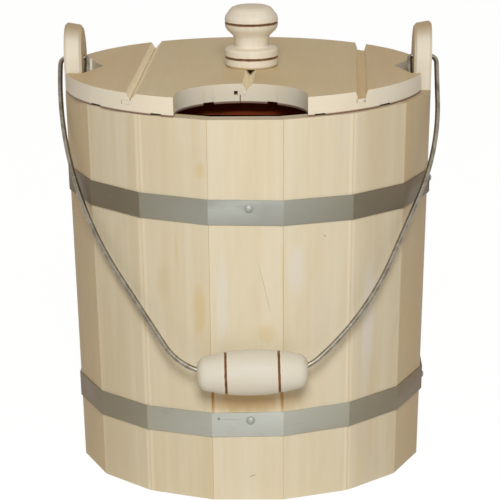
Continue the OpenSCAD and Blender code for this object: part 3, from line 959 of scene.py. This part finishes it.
def burnt_lines(lines, line, origin):
    """Paints uneven brown rings at set distances along a line, each between two pale rims."""
    def marks(tree, place, colour):
        where = surface_place(tree)
        offset = step(tree, "VectorMath", {0: where, 1: tuple(-origin)}, operation="ADD").outputs[0]
        along = along_line(tree, offset, tuple(line))
        ragged = noise(tree, stretch(tree, where, RAGGED_WAVES), 3.0)
        singed = ramp(tree, noise(tree, stretch(tree, where, SINGE_WAVES)), 0.35, 0.65)
        burn = blend_colour(tree, singed, SCORCH, SINGED)
        for place_along in lines:
            gap = unsigned(tree, number(tree, "SUBTRACT", along, place_along))
            rough_gap = number(tree, "MULTIPLY_ADD", ragged, 0.7 * MM, gap)
            colour = glaze(tree, colour, LINE_RIM, rough_gap, 1.6 * MM, 2.6 * MM, 0.7, 0.0)
            colour = glaze(tree, colour, burn, rough_gap, 1.1 * MM, 1.7 * MM, 0.95, 0.0)
        return colour
    return marks


print("lines", round(2 * LINE_HALF / MM, 1), "mm wide and", round(LINE_DEPTH / MM, 1), "mm deep")

# %% [markdown]
# ## The knob
# The knob stands on the middle joint of the lid: a foot like a thick disc, a waist, and a cap with a low
# dome. Its outline could be one list of points, but the rounds would show corners close by. So it is put
# together from arcs and short straights, as shares of the knob's radius and height. A hole in the foot
# takes the screw that comes up through the lid.

# %% Turn the knob
knob_low, knob_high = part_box("knob")
KNOB_H = knob_high.z - knob_low.z
KNOB_R = (knob_high.x - knob_low.x) / 2
KNOB_PLACE = Vector(((knob_low.x + knob_high.x) / 2, (knob_low.y + knob_high.y) / 2, knob_low.z))
KNOB_LINES = (0.165 * KNOB_H, 0.735 * KNOB_H)
KNOB_TONE = screen_colour(238, 233, 221)
HOLE_R = 2.5 * MM
HOLE_DEPTH = 25 * MM
HOLE_TIP = 5 * MM


def knob_outline(r, h):
    """From the screw's hole, along the foot and up the side to the middle of the top."""
    low_line, high_line = KNOB_LINES
    hole = [(0, HOLE_DEPTH), (HOLE_R, HOLE_DEPTH - HOLE_TIP), (HOLE_R, 0), (r - 0.05 * h, 0)]
    foot = arc((r - 0.05 * h, 0.06 * h), 0.05 * h, -60, 0, 6)
    shoulder = arc((0.87 * r, 0.26 * h), 0.13 * r, 0, 80, 8)
    waist = [(0.67 * r, 0.325 * h), (0.62 * r, 0.345 * h), (0.64 * r, 0.4 * h), (0.68 * r, 0.495 * h)]
    cap = [(0.72 * r, 0.525 * h), (0.92 * r, 0.61 * h), (0.985 * r, 0.66 * h)]
    dome = arc((0.7 * r, 0.79 * h), 0.3 * r, 0, 45, 12)
    top = [(0.83 * r, 0.935 * h), (0.74 * r, 0.975 * h), (0.6 * r, h), (0, h)]
    return hole + foot + groove(r, low_line) + shoulder + waist + cap + groove(r, high_line) + dome + top


knob = lathe("turned_knob", knob_outline(KNOB_R, KNOB_H), False, Matrix.Translation(KNOB_PLACE))
knob_lines = burnt_lines(KNOB_LINES, Vector((0, 0, 1)), KNOB_PLACE)
knob_wood = limewood("limewood_knob", 17, "z", turn=0.3, base=KNOB_TONE, marks=knob_lines, **TURNED_WOOD)
knob.data.materials.append(knob_wood)
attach(knob, "bucket")
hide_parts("knob")
print("knob", round(KNOB_H / MM, 1), "mm high and", round(2 * KNOB_R / MM, 1), "mm wide")

# %% [markdown]
# ## The grip
# The grip is a barrel on the wire. Its side is one long arc and its ends are rounded over, and a bore runs
# through it, wider at both mouths because the wire starts to bend there. The bore could be cut from a solid
# barrel with a boolean modifier, but turning the closed outline of the wall leaves cleaner faces. The grip
# is turned upright and then laid along the line that its joint gives.

# %% Turn the grip
GRIP_HALF = 43 * MM
GRIP_R = 17.9 * MM
BELLY_R = 147 * MM
BORE_R = 2.3 * MM
BORE_HALF = 24 * MM
MOUTH_R = 6.9 * MM
SHOULDER_TURNS = (16, 76)
SHOULDER_LEN = 7 * MM
LINE_AT = 0.48 * GRIP_HALF
GRIP_TONE = screen_colour(221, 219, 207)


def belly(x):
    """The radius of the barrel at a distance from its middle."""
    return GRIP_R - BELLY_R + math.sqrt(BELLY_R ** 2 - x ** 2)


def grip_outline():
    """The closed outline of the wall: out along the side, over the end and back through the bore."""
    first_turn, last_turn = (math.radians(turn) for turn in SHOULDER_TURNS)
    rise = belly(GRIP_HALF - SHOULDER_LEN) - MOUTH_R
    shoulder_r = rise / (math.cos(first_turn) - math.cos(last_turn))
    end_x = GRIP_HALF - shoulder_r * math.sin(last_turn)
    end_r = MOUTH_R - shoulder_r * math.cos(last_turn)
    past_line = LINE_AT + LINE_HALF
    middle = [k * (LINE_AT - LINE_HALF) / 8 for k in range(9)]
    side = [past_line + k * (end_x - past_line) / 6 for k in range(6)]
    line = [(belly(LINE_AT) - LINE_DEPTH, LINE_AT)]
    shoulder = arc((end_r, end_x), shoulder_r, *SHOULDER_TURNS, 12)
    upper = [(belly(x), x) for x in middle] + line + [(belly(x), x) for x in side] + shoulder
    upper.append((BORE_R, BORE_HALF))
    lower = [(r, -x) for r, x in reversed(upper) if x > 0]
    return upper + lower


grip_turn = Vector((0, 0, 1)).rotation_difference(GRIP_LINE).to_matrix().to_4x4()
grip = lathe("turned_grip", grip_outline(), True, Matrix.Translation(GRIP_MIDDLE) @ grip_turn)
grip_lines = burnt_lines((-LINE_AT, LINE_AT), GRIP_LINE, GRIP_MIDDLE)
grip_wood = limewood("limewood_grip", 23, "x", base=GRIP_TONE, marks=grip_lines, **TURNED_WOOD)
grip.data.materials.append(grip_wood)
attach(grip, "grip")
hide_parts("grip")
print("grip", round(2 * GRIP_HALF / MM), "mm long")

# %% [markdown]
# ## The line of the wire
# One length of drawn wire makes the handle. It was bent cold: straight in the grip, a corner at each side,
# a long slack curve up to the ears, a tight bend into each hole and a short hook inside. A curve drawn by
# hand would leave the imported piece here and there. In the plane of the handle the real line is only
# straight parts and arcs that touch, so it is worked out from a few corners, in millimetres.

# %% Draw the line of the wire
GRIP_SHIFT = GRIP_MIDDLE.x / MM
GRIP_SLANT = math.degrees(math.acos(GRIP_LINE.x))
STRAIGHT = 25.0
LEG_X = 153.83
EYE_BEND_R = 6.0
HOOK_BEND_R = 2.2
HOOK_LEN = 17.0
EAR_INNER = 134.13
CORNER_STEPS = 28
BEND_STEPS = 10
# For each side: its knees from the grip up, how far each corner is rounded, and how far down its leg begins.
SIDES = {1: {"knees": [(48.7, 46.2)], "reaches": (15.6, 49.5, 45.8), "top": 85.3},
         -1: {"knees": [], "reaches": (28.6, 99.8), "top": 108.3}}


def rounded_corner(before, corner, after, reach):
    """The arc that rounds a corner, from a set reach before it to the same reach after it."""
    start = math.atan2(corner.y - before.y, corner.x - before.x)
    end = math.atan2(after.y - corner.y, after.x - corner.x)
    radius = reach / math.tan((end - start) / 2)
    begin = corner - reach * Vector((math.cos(start), math.sin(start)))
    middle = begin + radius * Vector((-math.sin(start), math.cos(start)))
    return arc(middle, radius, math.degrees(start) - 90, math.degrees(end) - 90, CORNER_STEPS)


def half_line(side):
    """The wire's middle line in the plane of the handle, from the grip to the hook, in millimetres."""
    sizes = SIDES[side]
    slant = math.radians(side * GRIP_SLANT)
    along = Vector((math.cos(slant), math.sin(slant)))
    start = Vector((side * GRIP_SHIFT, -HANDLE_DROP / MM)) + STRAIGHT * along
    first = start + sizes["reaches"][0] * along
    corners = [start, first] + [first + Vector(knee) for knee in sizes["knees"]]
    corners += [Vector((LEG_X, -sizes["top"])), Vector((LEG_X, -EYE_BEND_R))]
    points = []
    for index, reach in enumerate(sizes["reaches"]):
        points += rounded_corner(*corners[index:index + 3], reach)
    points += arc((LEG_X - EYE_BEND_R, -EYE_BEND_R), EYE_BEND_R, 0, 90, BEND_STEPS)
    points += arc((EAR_INNER, -HOOK_BEND_R), HOOK_BEND_R, 90, 180, BEND_STEPS)
    hook_x = EAR_INNER - HOOK_BEND_R
    points += [(hook_x, -HOOK_BEND_R - k * (HOOK_LEN - HOOK_BEND_R) / 3) for k in (1, 2, 3)]
    return [(side * x, z) for x, z in points]


wire_line = list(reversed(half_line(-1))) + half_line(1)
wire_length = sum((Vector(after) - Vector(before)).length for before, after in zip(wire_line, wire_line[1:]))
print("wire", round(wire_length), "mm long, through", len(wire_line), "points")

# %% [markdown]
# ## The handle wire
# A round section is carried along the line, and the ends are closed, since the hooks' ends can be seen from
# above. Drawn steel is dark and nearly smooth, with lighter spots where it rubbed. It is one metal over its
# whole length, so its tone is noise of two sizes, without any direction.

# %% Bend the wire
WIRE_R = 2.0
AROUND = 20
DARK_STEEL = screen_colour(112, 104, 90)
GREY_STEEL = screen_colour(148, 142, 128)
RUBBED_STEEL = screen_colour(176, 172, 160)
STEEL_WAVES = (120, 120, 120)
WIRE_SMOOTH = 40


def wire_mesh(name, line, radius):
    """Carries a round section along a flat line of (x, z) points, in millimetres."""
    mesh = bpy.data.meshes.new(name)
    verts = []
    for index, (x, z) in enumerate(line):
        before, after = line[max(index - 1, 0)], line[min(index + 1, len(line) - 1)]
        ahead = Vector((after[0] - before[0], after[1] - before[1])).normalized()
        for k in range(AROUND):
            angle = 2 * math.pi * k / AROUND
            out = radius * math.cos(angle)
            verts.append(((x - ahead.y * out) * MM, radius * math.sin(angle) * MM, (z + ahead.x * out) * MM))
    last = (len(line) - 1) * AROUND
    ends = [tuple(range(AROUND)), tuple(reversed(range(last, last + AROUND)))]
    mesh.from_pydata(verts, [], ring_faces(len(line), AROUND) + ends)
    with opened(mesh) as work:
        bmesh.ops.recalc_face_normals(work, faces=work.faces)
    return mesh


def drawn_wire(name):
    """Dark drawn steel with lighter rubbed spots."""
    material, tree, shader = empty_material(name)
    where = surface_place(tree)
    cloud = noise(tree, stretch(tree, where, STEEL_WAVES), 4.0, 0.6)
    fine = noise(tree, stretch(tree, where, MOTTLE_WAVES), 2.0)
    colour = blend_colour(tree, ramp(tree, cloud, 0.35, 0.65), GREY_STEEL, DARK_STEEL)
    colour = glaze(tree, colour, RUBBED_STEEL, fine, 0.5, 0.75, 0.0, 0.3)
    bump = step(tree, "Bump", {"Strength": 0.15, "Distance": 0.1 * MM, "Height": fine})
    rough = ramp(tree, cloud, 0.3, 0.7, 0.24, 0.36)
    set_shader(tree, shader, Base_Color=colour, Metallic=0.9, Roughness=rough, Normal=bump.outputs[0])
    return material


wire = in_scene("bent_wire", wire_mesh("bent_wire", wire_line, WIRE_R))
wire.data.transform(Matrix.Translation(PIVOT) @ Matrix.Rotation(-REST_ANGLE, 4, "X"))
smooth_below(wire.data, WIRE_SMOOTH)
wire.data.materials.append(drawn_wire("drawn_wire"))
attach(wire, "bail")
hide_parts("bail")
print("wire", round(2 * WIRE_R, 1), "mm thick")

# %% [markdown]
# ## Measure and finish
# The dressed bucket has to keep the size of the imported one.

# %% Measure and finish
bpy.context.view_layer.update()
dressed_box = [list(corner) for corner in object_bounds()]
for name, box in (("packed", packed_box), ("dressed", dressed_box)):
    print(name, [round(high - low, 4) for low, high in zip(*box)])
